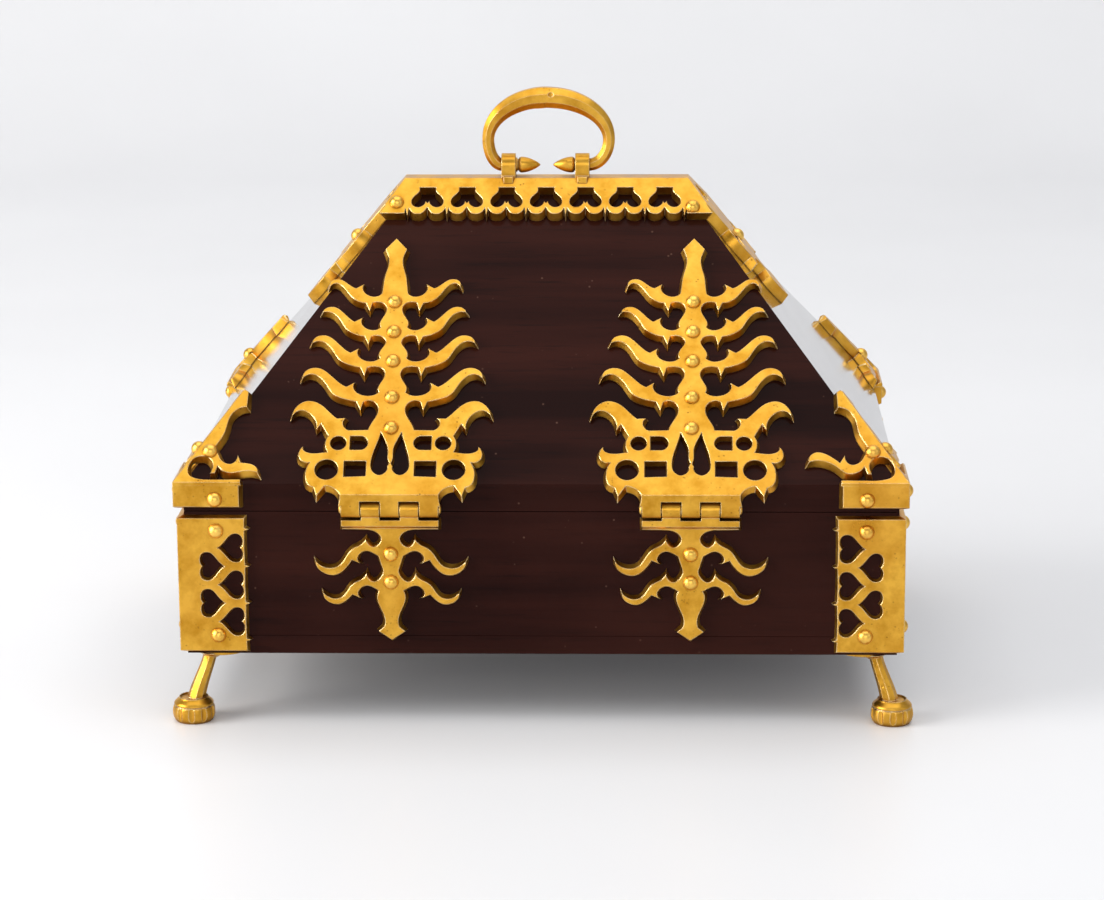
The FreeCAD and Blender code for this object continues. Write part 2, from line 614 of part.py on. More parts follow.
def lid_corner_bracket(reach, lift):
    """Bracket wrapped round the back right corner of the lid, on the rim and both slopes."""
    half_w, half_d = WOOD_W / 2, WOOD_D / 2
    wide, deep = hip_inset(BRACKET_T)
    wood = hipped(0, 0, Z_CREASE, Z_TOP).fuse(box((-half_w, -half_d, 0), (half_w, half_d, Z_CREASE)))
    reach_out = BRACKET_T + 0.01
    outer = hipped(-wide - 0.01, -deep - 0.01, Z_CREASE - 10.0, Z_TOP)
    outer = outer.common(box((0, -half_d - reach_out, 0), (half_w + reach_out, 0, Z_TOP)))
    band_face = outline((-9.0, BRACKET_LOW), [
        [(BRACKET_BAND, BRACKET_LOW)], [(BRACKET_BAND, Z_CREASE + 3.0)], [(-9.0, Z_CREASE + 3.0)]])
    band = casting(band_face, BRACKET_T, BRACKET_LEAN)
    back = casting(bracket_face(1.0, 1.0, reach, lift), BRACKET_T, BRACKET_LEAN)
    side = casting(bracket_face(RUN_Y / RUN_X, LEN_SIDE / LEN_BACK, 32.6, 0.0), BRACKET_T, BRACKET_LEAN)
    hip = hip_wedge()
    low = box((-BIG, -BIG, 0), (BIG, BIG, Z_CREASE + 0.4))
    backs = [on_back_face(shifted(flip_x(band), half_w)).common(low),
             on_back_slope(shifted(flip_x(back), half_w)).cut(box((-BIG, -BIG, 0), (BIG, BIG, Z_CREASE)))]
    sides = [on_right_face(shifted(band, -half_d)).common(low),
             on_right_slope(shifted(side, -half_d)).cut(box((-BIG, -BIG, 0), (BIG, BIG, Z_CREASE)))]
    parts = [part.common(hip) for part in backs] + [part.cut(hip) for part in sides]
    whole = parts[0].fuse(parts[1:])
    return whole.common(outer).cut(wood).removeSplitter()


# ---- cap and handle -------------------------------------------------------------------------
CAP_PITCH = 17.3
CAP_EDGE = LEN_BACK - 17.0       # level of the skirt's scallops
CAP_TOP = LEN_BACK - 3.6         # where the hearts of the skirt are cut off
END_SCALE = LEN_SIDE / LEN_BACK
END_EDGE = CAP_EDGE * END_SCALE
CAP_LEAN = 0.8
CAP_HOLE_LEAN = 0.7
CAP_RIVETS = [(-65.3, CAP_EDGE + 6.2), (64.1, CAP_EDGE + 3.8)]
END_RIVETS = [(0, END_EDGE - 16.0)]


def cap_skirt(hearts, edge):
    """Skirt up a slope and past both hips: two lobes under each heart, a spur between hearts."""
    left = -hearts * CAP_PITCH / 2
    runs = [[(left - 0.8, edge)], [(left - 0.8, edge + 2.2)]]
    for k in range(hearts):
        begin = left + k * CAP_PITCH
        middle = begin + CAP_PITCH / 2
        runs.append([(begin, edge - 1.0)])
        runs.append([(begin + 0.8, edge + 2.2)])
        runs.append([(begin + 1.4, edge + 0.6), (begin + 2.8, edge - 0.4), (begin + 4.7, edge - 0.7),
                     (begin + 6.6, edge - 0.3), (begin + 7.8, edge + 0.8), (middle, edge + 2.4)])
        runs.append([(middle + 0.8, edge + 0.8), (middle + 2.0, edge - 0.3), (middle + 3.9, edge - 0.7),
                     (middle + 5.8, edge - 0.4), (middle + 7.2, edge + 0.6),
                     (begin + CAP_PITCH - 0.8, edge + 2.2)])
    runs += [[(-left, edge - 1.0)], [(-left + 0.8, edge + 2.2)], [(-left + 0.8, edge)], [(140, edge)],
             [(140, LEN_BACK + 10)], [(-140, LEN_BACK + 10)]]
    return outline((-140, edge), runs)


def cap_heart(u, edge, top):
    """Upturned heart with its point cut off square under the fold of the cap."""
    low = edge + 4.2
    half = [(3.5, top - 2.4), (5.5, low + 4.6), (6.3, low + 2.8), (6.0, low + 1.0), (4.3, low),
            (2.3, low + 0.8), (0.9, low + 2.9)]
    right = [(u + a, b) for a, b in half]
    left = [(u - a, b) for a, b in reversed(half)] + [(u - 3.1, top)]
    return outline((u - 3.1, top), [[(u + 3.1, top)], right, [(u, low + 2.2)], left[:1], left[1:]])


def end_plate(edge):
    """End of the cap, drawn from its top down to a lobed pendant with a spear tip."""
    return symmetric_outline((15.5, LEN_SIDE + 10), [
        [(15.5, edge + 4.0)],
        [(15.9, edge - 3.0), (13.4, edge - 9.6)],
        [(15.6, edge - 13.0), (16.0, edge - 19.0), (13.6, edge - 25.6)],
        [(15.0, edge - 27.8), (14.4, edge - 30.4)],
        [(10.6, edge - 28.6), (6.4, edge - 28.8), (3.2, edge - 31.6)],
        [(3.0, edge - 35.0)],
        [(6.8, edge - 38.4)],
        [(6.4, edge - 43.4), (3.4, edge - 48.6), (0.0, edge - 52.5)],
    ])


def hip_wedge():
    """Space over the back panel, between upright planes through its two hips."""
    near_x, near_y = TOP_W / 2, -TOP_D / 2
    far_x, far_y = near_x + 2 * RUN_X, near_y - 2 * RUN_Y
    ring = [vec(-near_x, near_y, 0), vec(near_x, near_y, 0), vec(far_x, far_y, 0), vec(-far_x, far_y, 0)]
    return Part.Face(Part.makePolygon(ring + ring[:1])).extrude(vec(0, 0, BIG))


def cap():
    """Brass cap over the ridge with a pierced skirt folded down each slope."""
    wide, deep = hip_inset(CAP_T)
    outer = hipped(-wide, -deep, Z_CREASE, Z_CAP)
    flat = outer.common(box((-BIG, -BIG, Z_TOP), (BIG, BIG, BIG)))
    slopes = box((-BIG, -BIG, 0), (BIG, BIG, Z_TOP + 0.5))
    hip = hip_wedge()
    back = on_back_slope(leaned(cap_skirt(7, CAP_EDGE), CAP_T, CAP_LEAN)).common(slopes).common(hip)
    right = on_right_slope(leaned(end_plate(END_EDGE), CAP_T, CAP_LEAN)).common(slopes)
    right = right.common(box((0, -BIG, 0), (BIG, BIG, BIG))).cut([hip, half_turn(hip)])
    whole = flat.fuse([back, half_turn(back), right, half_turn(right)])
    whole = whole.common(hipped(-wide - 0.01, -deep - 0.01, Z_CREASE, Z_CAP))
    back_hearts = [cap_heart((k - 3) * CAP_PITCH, CAP_EDGE, CAP_TOP) for k in range(7)]
    level = END_EDGE - 16.0
    end_hearts = [cap_heart(0, END_EDGE, CAP_TOP * END_SCALE), heart((4.4, level), 8.0, 9.6),
                  heart((-4.4, level), 8.0, 9.6, -1)]
    cutters = [on_back_slope(opening(face, CAP_T, CAP_HOLE_LEAN)) for face in back_hearts]
    cutters += [on_right_slope(opening(face, CAP_T, CAP_HOLE_LEAN)) for face in end_hearts]
    cutters += [half_turn(cutter) for cutter in cutters]
    return whole.cut(hipped(0, 0, Z_CREASE, Z_TOP)).cut(cutters).removeSplitter()


def handle_staple(side):
    """Flat strap bent over one end of the bail, its feet turned down over the edges of the cap."""
    axis_z = Z_CAP + BAIL_AXIS_H
    inner = BAIL_END_R + PIN_FIT
    outer = inner + STAPLE_T
    low, high = side * STAPLE_X[side] - STAPLE_W / 2, side * STAPLE_X[side] + STAPLE_W / 2
    ring = Part.makeCylinder(outer, STAPLE_W, vec(low, 0, axis_z), vec(1, 0, 0))
    ring = ring.fuse(box((low, -outer, Z_CAP - 4), (high, outer, axis_z)))
    ring = ring.cut(Part.makeCylinder(inner, STAPLE_W + 2, vec(low - 1, 0, axis_z), vec(1, 0, 0)))
    ring = ring.cut(box((low - 1, -inner, Z_CAP - 5), (high + 1, inner, axis_z)))
    for way in (-1, 1):
        toe = [vec(low, way * (outer - 0.5), Z_CAP - 4), vec(low + 1.1, way * (outer + 2.2), Z_CAP - 4),
               vec(high - 1.1, way * (outer + 2.2), Z_CAP - 4), vec(high, way * (outer - 0.5), Z_CAP - 4)]
        ring = ring.fuse(Part.Face(Part.makePolygon(toe + toe[:1])).extrude(vec(0, 0, 4.8)))
    wide, deep = hip_inset(CAP_T)
    return ring.cut(hipped(-wide, -deep, Z_CREASE, Z_CAP)).removeSplitter()


def bail_stations(side):
    """Centre and heading at stations along one half of the bail, from its staple to the top."""
    axis_z = Z_CAP + BAIL_AXIS_H
    reach = BAIL_REACH[side]
    turn_x, turn_z = STAPLE_X[side] + BAIL_AXLE_END, axis_z + BAIL_TURN
    stations = []
    for degrees in (0, 22.5, 45, 67.5):
        t = math.radians(degrees)
        wide = reach - turn_x
        stations.append((vec(turn_x + wide * math.sin(t), 0, turn_z - BAIL_TURN * math.cos(t)),
                         vec(wide * math.cos(t), 0, BAIL_TURN * math.sin(t))))
    for degrees in (0, 15, 30, 45, 60, 75, 90):
        t = math.radians(degrees)
        high = BAIL_RISE - BAIL_TURN
        stations.append((vec(reach * math.cos(t), 0, turn_z + high * math.sin(t)),
                         vec(-reach * math.sin(t), 0, high * math.cos(t))))
    return stations


def octagon(centre, across, high, deep):
    """Bevelled section of the bail: high along 'across', deep along Y."""
    bevel = 0.3
    ring = []
    for a, b in ((1, 1 - 2 * bevel), (1 - 2 * bevel, 1), (-1 + 2 * bevel, 1), (-1, 1 - 2 * bevel),
                 (-1, -1 + 2 * bevel), (-1 + 2 * bevel, -1), (1 - 2 * bevel, -1), (1, -1 + 2 * bevel)):
        ring.append(centre + across * (a * high / 2) + vec(0, b * deep / 2, 0))
    return Part.makePolygon(ring + ring[:1])


def bail_half(side):
    """Half of the bail, drawn to the right: bow, round end in the staple and pointed tip."""
    axis_z = Z_CAP + BAIL_AXIS_H
    sections = []
    for centre, heading in bail_stations(side):
        across = vec(heading).normalize().cross(vec(0, 1, 0))
        grow = max(0.0, (centre.z - axis_z - BAIL_TURN) / (BAIL_RISE - BAIL_TURN))
        sections.append(octagon(centre, across, 5.2 + 3.8 * grow ** 1.4, 5.4 + 2.4 * grow))
    bow = Part.makeLoft(sections, True, False)
    length = STAPLE_X[side] + BAIL_AXLE_END - BAIL_AXLE_START
    axle = Part.makeCylinder(BAIL_END_R, length, vec(BAIL_AXLE_START, 0, axis_z), vec(1, 0, 0))
    profile = outline((2.7, 0), [
        [(3.4, 0.7), (5.7, 2.1), (8.7, 3.2), (11.3, 3.5)],
        [(12.1, 3.1)],
        [(12.3, 2.6)],
        [(13.1, 2.6)],
        [(13.1, 0)],
    ])
    tip = profile.revolve(vec(0, 0, 0), vec(1, 0, 0), 360)
    tip.translate(vec(0, 0, axis_z))
    return bow.fuse([axle, tip])


def bail():
    """Bail handle, thickest at the top, where the casting has a small nick."""
    nick = Part.makeSphere(1.3, vec(2.0, -4.3, Z_CAP + BAIL_AXIS_H + BAIL_RISE + 1.8))
    return bail_half(1).fuse(flip_x(bail_half(-1))).removeSplitter().cut(nick)


# ---- feet ------------------------------------------------------------------------------------
PAW_R = 9.0
PAW_H = 10.5
PAW_INSET = 1.6
LEG_TOP_INSET = 9.0
LEG_LOW_INSET = 2.6
FLUTES = 10


def foot():
    """Back right foot: flange under the board, splayed leg, collar and fluted paw."""
    corner = vec(WOOD_W / 2, -WOOD_D / 2, 0)
    outward = vec(1, -1, 0)
    paw_at = corner - outward * PAW_INSET
    profile = outline((0, 0), [
        [(7.6, 0)],
        [(8.6, 1.6), (PAW_R, 4.0), (8.6, 6.6)],
        [(8.0, 7.0)],
        [(8.4, 7.5), (7.6, 8.9), (6.2, PAW_H)],
        [(5.2, PAW_H - 0.7)],
        [(0, PAW_H - 0.7)],
    ])
    paw = stand(profile, (0, 0, 0), (1, 0, 0), (0, 0, 1)).revolve(vec(0, 0, 0), vec(0, 0, 1), 360)
    flutes = []
    for k in range(FLUTES):
        turn = 2 * math.pi * (k + 0.5) / FLUTES
        at = vec((PAW_R + 0.7) * math.cos(turn), (PAW_R + 0.7) * math.sin(turn), -1)
        flutes.append(Part.makeCylinder(1.5, 7.9, at))
    paw = paw.cut(Part.makeCompound(flutes))
    paw.translate(paw_at)
    sections = []
    for k in range(9):
        t = k / 8
        swing = 0.6 * t + 0.2 * (1 - math.cos(math.pi * t))
        centre = corner - outward * (LEG_LOW_INSET + (LEG_TOP_INSET - LEG_LOW_INSET) * swing)
        half = (4.8 + 3.1 * (1 - t) ** 0.8 + 2.6 * t ** 9) / 2
        height = PAW_H - 1.4 + (FOOT_H - PAW_H + 1.4) * t
        ring = []
        for a in range(8):
            turn = math.radians(45 * a)
            ring.append(centre + vec(half * math.cos(turn), half * math.sin(turn), height))
        sections.append(Part.makePolygon(ring + ring[:1]))
    leg = Part.makeLoft(sections, True, False)
    cleft_at = corner - outward * (LEG_LOW_INSET - 3.0)
    leg = leg.cut(Part.makeCone(1.1, 0.05, 5.2, cleft_at + vec(0, 0, PAW_H - 0.7)))
    flange = Part.makeCylinder(10.5, 2.0, corner - outward * 13.5 + vec(0, 0, FOOT_H - 2.0))
    gusset = Part.makeCone(2.4, 6.4, 2.6, corner - outward * 9.4 + vec(0, 0, FOOT_H - 4.2))
    return paw.fuse([leg, flange, gusset]).removeSplitter()


def foot_screw():
    """Countersunk screw through the flange of the back right foot."""
    at = vec(WOOD_W / 2 - 19.5, -WOOD_D / 2 + 19.5, FOOT_H)
    head = Part.makeCone(2.4, 1.2, 1.4, at - vec(0, 0, 2.2))
    return head.fuse(Part.makeCylinder(1.2, 6.0, at - vec(0, 0, 2.2))).removeSplitter()


# ---- front lock ---------------------------------------------------------------------------------
HASP_GAP = 0.7           # between the lock plate and the hasp
HASP_BACK = WOOD_D / 2 + LOCK_T + HASP_GAP
EYE_Z = (68.0, 80.0)     # height span of the eye behind the hasp
EYE_IN = 99.7            # innermost reach of the eye
SLOT_HALF = 2.6
SLOT_LOW = 64.4
CASE_X = 18.0
CASE_Z = (60.0, 86.0)
CASE_Y = (WOOD_D / 2 - BOARD, WOOD_D / 2 - 2.4)
CASE_WALL = 1.2
LOCK_RIVETS = [(-17.0, -13.5), (17.0, -13.5), (-17.0, -48.5), (17.0, -48.5)]
LOCK_SHANK = 2.0         # short, clear of the case behind the plate
LOCK_LEAN = 0.9


def lock_plate():
    """Scalloped plate on the front of the box, slotted for the eye of the hasp."""
    half, low, high = 22.0, -54.0, BAND_TOP - LEAF_Z - 0.3
    pitch = (high - low) / 3
    runs = [[(half - 1.4, low)]]
    for k in range(3):
        begin = low + k * pitch
        runs.append([(half + 0.6, begin + 4.0), (half - 1.0, begin + pitch / 2)])
        runs.append([(half + 0.6, begin + pitch / 2 + 4.4), (half - 1.2, begin + pitch)])
    runs.append([(0, high)])
    face = symmetric_outline((0.0, low), runs)
    hearts = [heart((side * 9.6, level), 8.8, 10.8, side) for side in (-1, 1) for level in (-38.4, -26.0)]
    solid = on_back_face(casting(face, LOCK_T, LOCK_LEAN, hearts, 0.7, below=0.0), LEAF_Z)
    return half_turn(solid.cut(box((-SLOT_HALF, -BIG, SLOT_LOW), (SLOT_HALF, 0, BIG))))


def hasp():
    """Swinging hasp: knuckled band, spear-tipped tongue and the eye behind it."""
    start = (20.4, BAND_TOP - LEAF_Z)
    runs = [
        [(20.4, -8.2)],
        [(16.0, -9.0), (11.6, -11.4), (10.2, -15.4)],
        [(12.4, -18.6), (12.0, -23.4), (9.0, -28.0), (7.8, -32.4)],
        [(9.6, -35.6), (8.4, -40.0), (4.6, -43.6), (3.8, -47.0)],
        [(5.4, -48.8)],
        [(2.5, -50.2), (0.0, -53.4)],
    ]
    tongue = casting(symmetric_outline(start, runs), LOCK_T, LOCK_LEAN, below=0.0)
    tongue = on_back_face(tongue, LEAF_Z)
    tongue.translate(vec(0, -(HASP_BACK - WOOD_D / 2), 0))
    for low, high in knuckle_spans(LOWER_KNUCKLES):
        riser = box((low, -HASP_BACK - LOCK_T, BAND_TOP - 1.3), (high, -HASP_BACK, BARREL_Z))
        tongue = tongue.fuse([riser, barrel(low, high, BARREL_R)])
    knob_at = vec(0, -HASP_BACK - LOCK_T + 0.2, LEAF_Z - 38.6)
    tongue = tongue.fuse(Part.makeCylinder(2.6, 1.8, knob_at, vec(0, -1, 0)))
    eye = box((-1.5, -HASP_BACK - 0.5, EYE_Z[0]), (1.5, -EYE_IN, EYE_Z[1]))
    eye = eye.cut(box((-2, -EYE_IN - 5.2, EYE_Z[0] + 2.4), (2, -EYE_IN - 1.6, EYE_Z[1] - 2.4)))
    tongue = tongue.fuse(eye).cut(barrel(-BIG, BIG, PIN_R + PIN_FIT))
    return half_turn(tongue.removeSplitter())


def lock_case():
    """Thin case let into the inner side of the front board, open where the eye goes in."""
    outer = box((-CASE_X, CASE_Y[0], CASE_Z[0]), (CASE_X, CASE_Y[1], CASE_Z[1]))
    hollow = box((-CASE_X + CASE_WALL, CASE_Y[0] + CASE_WALL, CASE_Z[0] + CASE_WALL),
                 (CASE_X - CASE_WALL, CASE_Y[1] - CASE_WALL, CASE_Z[1] - CASE_WALL))
    way = box((-SLOT_HALF, CASE_Y[0] + CASE_WALL, SLOT_LOW), (SLOT_HALF, CASE_Y[1] + 1, CASE_Z[1] + 1))
    return outer.cut(hollow).cut(way)


def lock_bolt():
    """Square bolt beside the eye, free to slide through it."""
    low_y = EYE_IN + 1.9
    return box((4.0, low_y, EYE_Z[0] + 3.0), (CASE_X - CASE_WALL - 0.4, low_y + 2.4, EYE_Z[1] - 3.0))


# ---- wooden boards ----------------------------------------------------------------------------
def mitred_frame(z_low, z_high):
    """Four mitred boards round the box: back, right, front and left."""
    half_w, half_d = WOOD_W / 2, WOOD_D / 2
    long_board = [(-half_w, -half_d), (half_w, -half_d), (half_w - BOARD, -half_d + BOARD),
                  (-half_w + BOARD, -half_d + BOARD)]
    short_board = [(half_w, -half_d), (half_w, half_d), (half_w - BOARD, half_d - BOARD),
                   (half_w - BOARD, -half_d + BOARD)]
    boards = []
    for ring in (long_board, short_board):
        points = [vec(x, y, z_low) for x, y in ring]
        boards.append(Part.Face(Part.makePolygon(points + points[:1])).extrude(vec(0, 0, z_high - z_low)))
    back, right = boards
    return {"back": back, "right": right, "front": half_turn(back), "left": half_turn(right)}


def panel_wedge():
    """Wedge whose two side planes pass through the outer and inner edges of the back hips."""
    wide, deep = hip_inset(PANEL)
    rings = []
    for z in (Z_CREASE - 1, Z_TOP - RIDGE + 1):
        up = (z - Z_CREASE) / SLOPE_H
        x = WOOD_W / 2 - RUN_X * up
        y = -WOOD_D / 2 + RUN_Y * up
        rings.append([vec(-x + 1.4 * wide, y + 1.4 * deep, z), vec(x - 1.4 * wide, y + 1.4 * deep, z),
                      vec(x + 9 * wide, y - 9 * deep, z), vec(-x - 9 * wide, y - 9 * deep, z)])
    return frustum(*rings)


def lid_panels():
    """Four mitred sloping panels: back, right, front and left."""
    wide, deep = hip_inset(PANEL)
    shell = hipped(0, 0, Z_CREASE, Z_TOP - RIDGE).cut(hipped(wide, deep, Z_CREASE, Z_TOP - RIDGE))
    wedge = panel_wedge()
    back, front = shell.common(wedge), shell.common(half_turn(wedge))
    ends = shell.cut(wedge).cut(half_turn(wedge))
    right, left = sorted(ends.Solids, key=lambda s: -s.CenterOfMass.x)
    return {"back": back.Solids[0], "right": right, "front": front.Solids[0], "left": left}


# ---- assembly -------------------------------------------------------------------------------------
CORNERS = {"back_right": lambda s: s, "back_left": flip_x, "front_right": flip_y, "front_left": half_turn}
TENDRILS = {"back_right": (39.4, 6.0), "back_left": (33.0, 0.0), "front_right": (36.0, 3.0),
            "front_left": (36.0, 3.0)}
BASE_DRILLED = ("base_corner_plate", "hinge_lower_leaf", "lock_plate", "back_board", "right_board",
                "front_board", "left_board", "bottom_board")
LID_DRILLED = ("lid_corner_bracket", "hinge_upper_leaf", "front_strap", "cap_plate", "lid_back", "lid_right",
               "lid_front", "lid_left", "lid_ridge_beam")


class Fixings:
    """Rivets of one body and the clearances for their shanks."""

    def __init__(self):
        self.heads = []
        self.holes = []

    def add(self, places, sheet, seat, depth=SHANK_IN_WOOD):
        """Rivets at (u, v) places through a sheet, moved onto a face of the box by seat."""
        self.heads += [seat(rivet(u, v, sheet, depth)) for u, v in places]
        self.holes += [seat(rivet_hole(u, v, sheet, depth)) for u, v in places]

    def drill(self, nodes, prefixes):
        """Cut the clearances out of the pieces they pass through."""
        for name in [n for n in nodes if n.startswith(prefixes)]:
            near = [hole for hole in self.holes if hole.BoundBox.intersect(nodes[name].BoundBox)]
            if near:
                nodes[name] = nodes[name].cut(Part.makeCompound(near))


def add_corners(nodes, base, lid):
    """Corner plates, lid brackets, feet and their fixings, at all four corners."""
    half_w, half_d = WOOD_W / 2, WOOD_D / 2
    plate_solid, foot_solid = base_corner_plate(), foot().cut(foot_screw())
    side_u, side_v = BRACKET_RIVET[0] * RUN_Y / RUN_X, BRACKET_RIVET[1] * END_SCALE
    plate_back = [(half_w - u, v) for u, v in PLATE_RIVETS]
    plate_side = [(-half_d + u, v) for u, v in PLATE_RIVETS]
    rim_back = [(half_w - RIM_RIVET[0], RIM_RIVET[1])]
    rim_side = [(-half_d + RIM_RIVET[0], RIM_RIVET[1])]
    slope_back = [(half_w - BRACKET_RIVET[0], BRACKET_RIVET[1])]
    slope_side = [(-half_d + side_u, side_v)]
    for name, put in CORNERS.items():
        nodes["base_corner_plate_" + name] = put(plate_solid)
        nodes["foot_" + name] = put(foot_solid)
        nodes["lid_corner_bracket_" + name] = put(lid_corner_bracket(*TENDRILS[name]))
        base.add(plate_back, BRASS, lambda s: put(on_back_face(s)))
        base.add(plate_side, BRASS, lambda s: put(on_right_face(s)))
        lid.add(rim_back, BRACKET_T, lambda s: put(on_back_face(s)))
        lid.add(rim_side, BRACKET_T, lambda s: put(on_right_face(s)))
        lid.add(slope_back, BRACKET_T, lambda s: put(on_back_slope(s)), HIP_SHANK)
        lid.add(slope_side, BRACKET_T, lambda s: put(on_right_slope(s)), HIP_SHANK)


def add_hinges(nodes, base, lid):
    """Two tree hinges at the back and the matching strap at the front."""
    lower, pin = lower_leaf(), hinge_pin()
    for name, x, drift in (("left", -HINGE_X, -DRIFT), ("right", HINGE_X, DRIFT)):
        nodes["hinge_upper_leaf_" + name] = shifted(upper_leaf(drift), x)
        nodes["hinge_lower_leaf_" + name] = shifted(lower, x)
        nodes["hinge_pin_" + name] = shifted(pin, x)
        lid.add([(x + u + drift * v, v) for u, v in STRAP_RIVETS], LEAF, on_back_slope)
        base.add([(x + u, v) for u, v in LEAF_RIVETS], LEAF, lambda s: on_back_face(s, LEAF_Z))
    nodes["front_strap"] = half_turn(upper_leaf())
    nodes["hasp_pin"] = half_turn(pin)
    lid.add(STRAP_RIVETS, LEAF, lambda s: half_turn(on_back_slope(s)))


def add_lock(nodes, base):
    """Lock plate, case, bolt and hasp at the front."""
    nodes["lock_plate"] = lock_plate()
    nodes["lock_case"] = lock_case()
    nodes["lock_bolt"] = lock_bolt()
    nodes["hasp"] = hasp()
    base.add(LOCK_RIVETS, LOCK_T, lambda s: half_turn(on_back_face(s, LEAF_Z)), LOCK_SHANK)


def add_cap(nodes, lid):
    """Cap, staples and bail handle."""
    nodes["cap_plate"] = cap()
    lid.add(CAP_RIVETS, CAP_T, on_back_slope, HIP_SHANK)
    lid.add(CAP_RIVETS, CAP_T, lambda s: half_turn(on_back_slope(s)), HIP_SHANK)
    lid.add(END_RIVETS, CAP_T, on_right_slope)
    lid.add(END_RIVETS, CAP_T, lambda s: half_turn(on_right_slope(s)))
    nodes["handle_staple_left"] = handle_staple(-1)
    nodes["handle_staple_right"] = handle_staple(1)
    nodes["handle_bail"] = bail()


def add_wood(nodes, screws):
    """Boards of the box and of the lid."""
    half_w, half_d = WOOD_W / 2, WOOD_D / 2
    bottom = box((-half_w, -half_d, Z_WOOD), (half_w, half_d, Z_SIDES))
    rim = [edge for edge in bottom.Edges if edge.BoundBox.ZMin > Z_SIDES - 1e-3]
    bottom = bottom.makeChamfer(EASED, rim)
    nodes["bottom_board"] = bottom.cut(Part.makeCompound(screws))
    for name, board in mitred_frame(Z_SIDES, Z_SEAM).items():
        nodes[name + "_board"] = board
    recess = box((-CASE_X - 0.1, CASE_Y[0] - 1, CASE_Z[0] - 0.1),
                 (CASE_X + 0.1, CASE_Y[1] + 0.05, CASE_Z[1] + 0.1))
    notch = box((-SLOT_HALF, 0, SLOT_LOW), (SLOT_HALF, BIG, BIG))
    nodes["front_board"] = nodes["front_board"].cut([recess, notch])
    for name, board in mitred_frame(Z_RIM, Z_CREASE).items():
        nodes["lid_%s_rim" % name] = board
    for name, panel in lid_panels().items():
        nodes["lid_%s_panel" % name] = panel
    nodes["lid_ridge_beam"] = hipped(0, 0, Z_TOP - RIDGE, Z_TOP)


def build():
    """Every node of the casket by name."""
    nodes = {}
    base, lid = Fixings(), Fixings()
    screws = [put(foot_screw()) for put in CORNERS.values()]
    add_corners(nodes, base, lid)
    add_hinges(nodes, base, lid)
    add_lock(nodes, base)
    add_cap(nodes, lid)
    add_wood(nodes, screws)
    base.drill(nodes, BASE_DRILLED)
    lid.drill(nodes, LID_DRILLED)
    nodes["base_rivets"] = Part.makeCompound(base.heads)
    nodes["lid_rivets"] = Part.makeCompound(lid.heads)
    nodes["foot_screws"] = Part.makeCompound(screws)
    return nodes


def main():
    os.makedirs("parts", exist_ok=True)
    for name, shape in build().items():
        solids = shape.Solids
        kept = solids[0] if len(solids) == 1 else Part.makeCompound(solids)
        kept.exportStep("parts/%s.step" % name)
        print("%-32s solids %2d  valid %s  volume %.1f" % (name, len(solids), kept.isValid(), kept.Volume))


main()
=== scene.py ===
import json
import math

import bpy
from mathutils import Matrix, Vector

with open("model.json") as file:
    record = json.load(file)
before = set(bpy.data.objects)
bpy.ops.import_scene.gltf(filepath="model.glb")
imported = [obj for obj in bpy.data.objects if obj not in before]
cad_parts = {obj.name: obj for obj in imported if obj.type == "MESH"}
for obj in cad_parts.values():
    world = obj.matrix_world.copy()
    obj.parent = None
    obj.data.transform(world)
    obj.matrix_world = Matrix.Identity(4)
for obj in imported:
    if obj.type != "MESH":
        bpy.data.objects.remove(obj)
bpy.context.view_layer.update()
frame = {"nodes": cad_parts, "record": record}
NODES = frame["nodes"]

# Colours are linear.
WOOD_DARK = (0.0110, 0.0026, 0.0020)
WOOD_LIGHT = (0.0300, 0.0072, 0.0046)
WOOD_PORE = (0.0050, 0.0020, 0.0018)
WOOD_CLOUD = (0.0420, 0.0120, 0.0080)
WOOD_DUST = (0.16, 0.085, 0.06)
WOOD_IOR = 1.13                # thin, soft reflection where the lacquer is seen face on
GRAIN_SQUEEZE = 0.06           # grain runs long along the board by this scale
SHEEN_COLOUR = (0.93, 0.93, 0.93)
SHEEN_ROUGHNESS = 0.07
SHEEN_MOST = 0.78              # share of the sheen where the lacquer is seen edge on

# Brass tones: bright, deep, and a dark brown used for small pits and for painted shade in recesses.
BRASS_TONES = ((0.76, 0.42, 0.055), (0.50, 0.235, 0.018), (0.12, 0.042, 0.008))
RIVET_TONES = ((0.95, 0.60, 0.13), (0.80, 0.45, 0.07), (0.22, 0.09, 0.02))
BRASS_GLOSS = 0.27
RIVET_GLOSS = 0.25
BRASS_TINT = (0.62, 0.26, 0.03)
# Pale colour painted along edges as a highlight.
BRASS_EDGE_HIGHLIGHT = (0.98, 0.84, 0.50)
RECESS_REACH = 0.0035          # metres over which painted shade darkens a recess
EDGE_RADIUS = 0.0007           # metres over which an edge gets a pale painted highlight

STEEL_CLEAN = (0.34, 0.34, 0.35)
STEEL_RUST = (0.16, 0.10, 0.07)

FLOOR_TONES = ((0.74, 0.74, 0.75), (0.79, 0.79, 0.80))

SENSOR = 36.0                  # millimetres
LENS = 115.2
CAMERA_PLACE = (0.0510, -1.5395, 0.4655)
CAMERA_YAW, CAMERA_PITCH, CAMERA_ROLL = (math.radians(a) for a in (-1.84, 13.61, -0.35))


